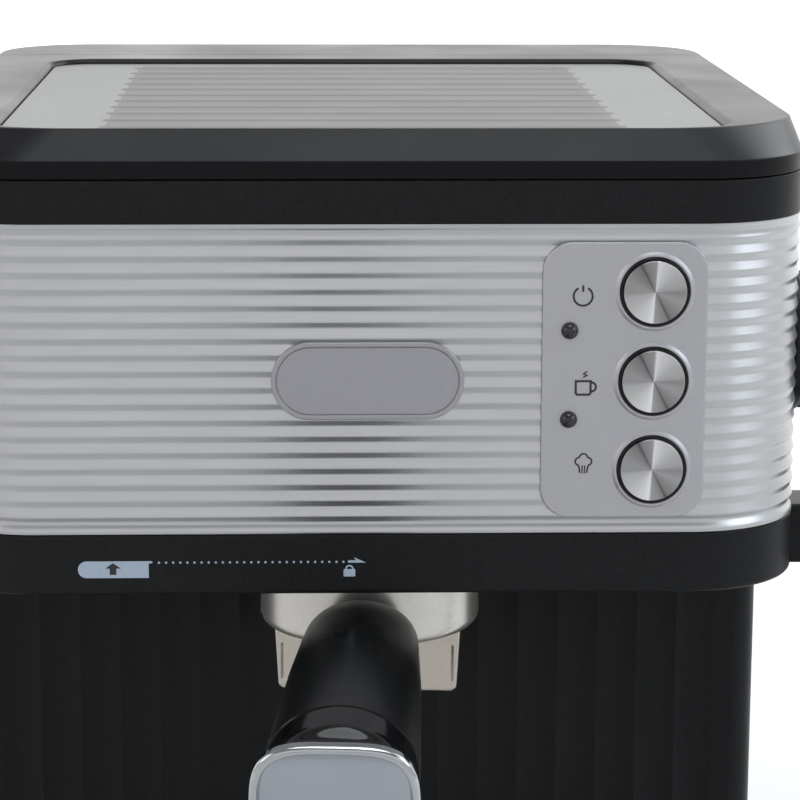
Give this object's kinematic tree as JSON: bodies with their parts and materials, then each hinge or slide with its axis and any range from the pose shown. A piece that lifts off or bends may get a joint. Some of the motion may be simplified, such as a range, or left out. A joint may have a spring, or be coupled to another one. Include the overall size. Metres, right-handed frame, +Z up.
{
  "type": "espresso machine",
  "caption": "Pump espresso machine with a ribbed silver head, three round buttons, a bayonet portafilter, drip tray, steam wand and lift-out water tank.",
  "frame": {"origin": "on the table, under the middle of the body, between the four feet", "axes": "+X to the user's right, +Y towards the back, +Z up"},
  "size_m": [0.2695, 0.3778, 0.3045],
  "materials": {
    "rubber": "matt moulded rubber",
    "casing_black": "fine-grained black plastic",
    "satin_black": "satin black plastic with a faint grain",
    "ribbed_silver": "satin silver lacquer over fine horizontal ribs",
    "plate_silver": "flat satin silver",
    "badge_grey": "satin grey with a bright raised rim",
    "warmer_steel": "pressed satin steel",
    "gloss_black": "polished black plastic",
    "turned_steel": "steel turned to a fine spiral grain",
    "spring_steel": "drawn wire",
    "circuit_board": "green laminate",
    "smoked_lens": "smoked clear plastic",
    "sheet_steel": "galvanised sheet",
    "cast_metal": "sand-blasted casting",
    "silicone": "matt silicone",
    "stainless": "polished stainless steel",
    "copper": "dull copper",
    "component_black": "moulded component",
    "clear_hose": "milky silicone hose",
    "brass": "machined brass",
    "chrome": "bright chrome plating",
    "spout_metal": "soft chrome plating",
    "knob_black": "satin black plastic",
    "grip_black": "satin black heat-proof plastic",
    "bolt_steel": "zinc-plated steel",
    "float_red": "red plastic",
    "tank_smoke": "smoked clear plastic"
  },
  "bodies": {
    "housing": {"feet": "rubber", "bottom_cover": "casing_black", "base_housing": "casing_black", "case_screws": "spring_steel", "cord_gland": "casing_black", "valve_seat": "rubber", "front_cover": "casing_black", "column_shell": "casing_black", "back_panel": "casing_black", "lower_bezel": "satin_black", "ribbed_panel": "ribbed_silver", "upper_band": "satin_black", "top_frame": "satin_black", "cup_plate": "warmer_steel", "badge": "badge_grey", "button_plate": "plate_silver", "button_rings": "gloss_black", "power_spring": "spring_steel", "coffee_spring": "spring_steel", "steam_spring": "spring_steel", "switch_board": "circuit_board", "indicator_lights": "smoked_lens", "control_board": "circuit_board", "chassis_plate": "sheet_steel", "group_ring": "cast_metal", "group_gasket": "silicone", "shower_screen": "stainless", "shower_screw": "stainless", "boiler": "cast_metal", "heating_element": "copper", "thermostats": "component_black", "pump": "cast_metal", "pump_mounts": "rubber", "inlet_hose": "clear_hose", "pressure_hose": "clear_hose", "steam_valve": "brass", "steam_pipes": "copper", "knob_ring": "chrome", "wand_socket": "casing_black"},
    "power_button": {"power_button": "turned_steel"},
    "coffee_button": {"coffee_button": "turned_steel"},
    "steam_button": {"steam_button": "turned_steel"},
    "steam_control": {"steam_knob": "knob_black", "knob_cap": "chrome", "knob_spindle": "brass"},
    "steam_wand": {"steam_wand": "chrome", "froth_sleeve": "knob_black"},
    "portafilter": {"portafilter_collar": "chrome", "filter_basket": "stainless", "spout_block": "spout_metal", "handle_grip": "grip_black", "handle_cap": "chrome", "handle_bolt": "bolt_steel"},
    "drip_tray": {"drip_tray": "casing_black"},
    "drip_grid": {"drip_grid": "stainless"},
    "tray_float": {"tray_float": "float_red"},
    "water_tank": {"water_tank": "tank_smoke", "tank_valve": "stainless"},
    "tank_lid": {"tank_lid": "satin_black"}
  },
  "joints": [
    {"name": "portafilter_turn", "type": "hinge", "parent": "housing", "child": "portafilter", "pos_m": [0.0024, -0.0875, 0.17], "axis": [0, 0, 1], "range_deg": [-45, 0]},
    {"name": "power_button_press", "type": "slide", "parent": "housing", "child": "power_button", "axis": [0, 1, 0], "range_m": [0, 0.0015], "stiffness_N_per_m": 400, "springref_m": -0.002, "deforming": ["power_spring"]},
    {"name": "coffee_button_press", "type": "slide", "parent": "housing", "child": "coffee_button", "axis": [0, 1, 0], "range_m": [0, 0.0015], "stiffness_N_per_m": 400, "springref_m": -0.002, "deforming": ["coffee_spring"]},
    {"name": "steam_button_press", "type": "slide", "parent": "housing", "child": "steam_button", "axis": [0, 1, 0], "range_m": [0, 0.0015], "stiffness_N_per_m": 400, "springref_m": -0.002, "deforming": ["steam_spring"]},
    {"name": "steam_knob_turn", "type": "hinge", "parent": "housing", "child": "steam_control", "pos_m": [0.12, -0.0755, 0.237], "axis": [1, 0, 0], "range_deg": [0, 270]},
    {"name": "wand_swing", "type": "hinge", "parent": "housing", "child": "steam_wand", "pos_m": [0.136, -0.0975, 0.18], "axis": [0, 0, 1], "range_deg": [-60, 90]},
    {"name": "drip_tray_slide", "type": "slide", "parent": "housing", "child": "drip_tray", "axis": [0, -1, 0], "range_m": [0, 0.085]},
    {"name": "drip_grid_lift", "type": "slide", "parent": "drip_tray", "child": "drip_grid", "axis": [0, 0, 1], "range_m": [0, 0.05]},
    {"name": "float_rise", "type": "slide", "parent": "drip_tray", "child": "tray_float", "axis": [0, 0, 1], "range_m": [0, 0.007]},
    {"name": "tank_lift", "type": "slide", "parent": "housing", "child": "water_tank", "axis": [0, 0, 1], "range_m": [0, 0.12]},
    {"name": "tank_lid_lift", "type": "slide", "parent": "water_tank", "child": "tank_lid", "axis": [0, 0, 1], "range_m": [0, 0.05]}
  ]
}
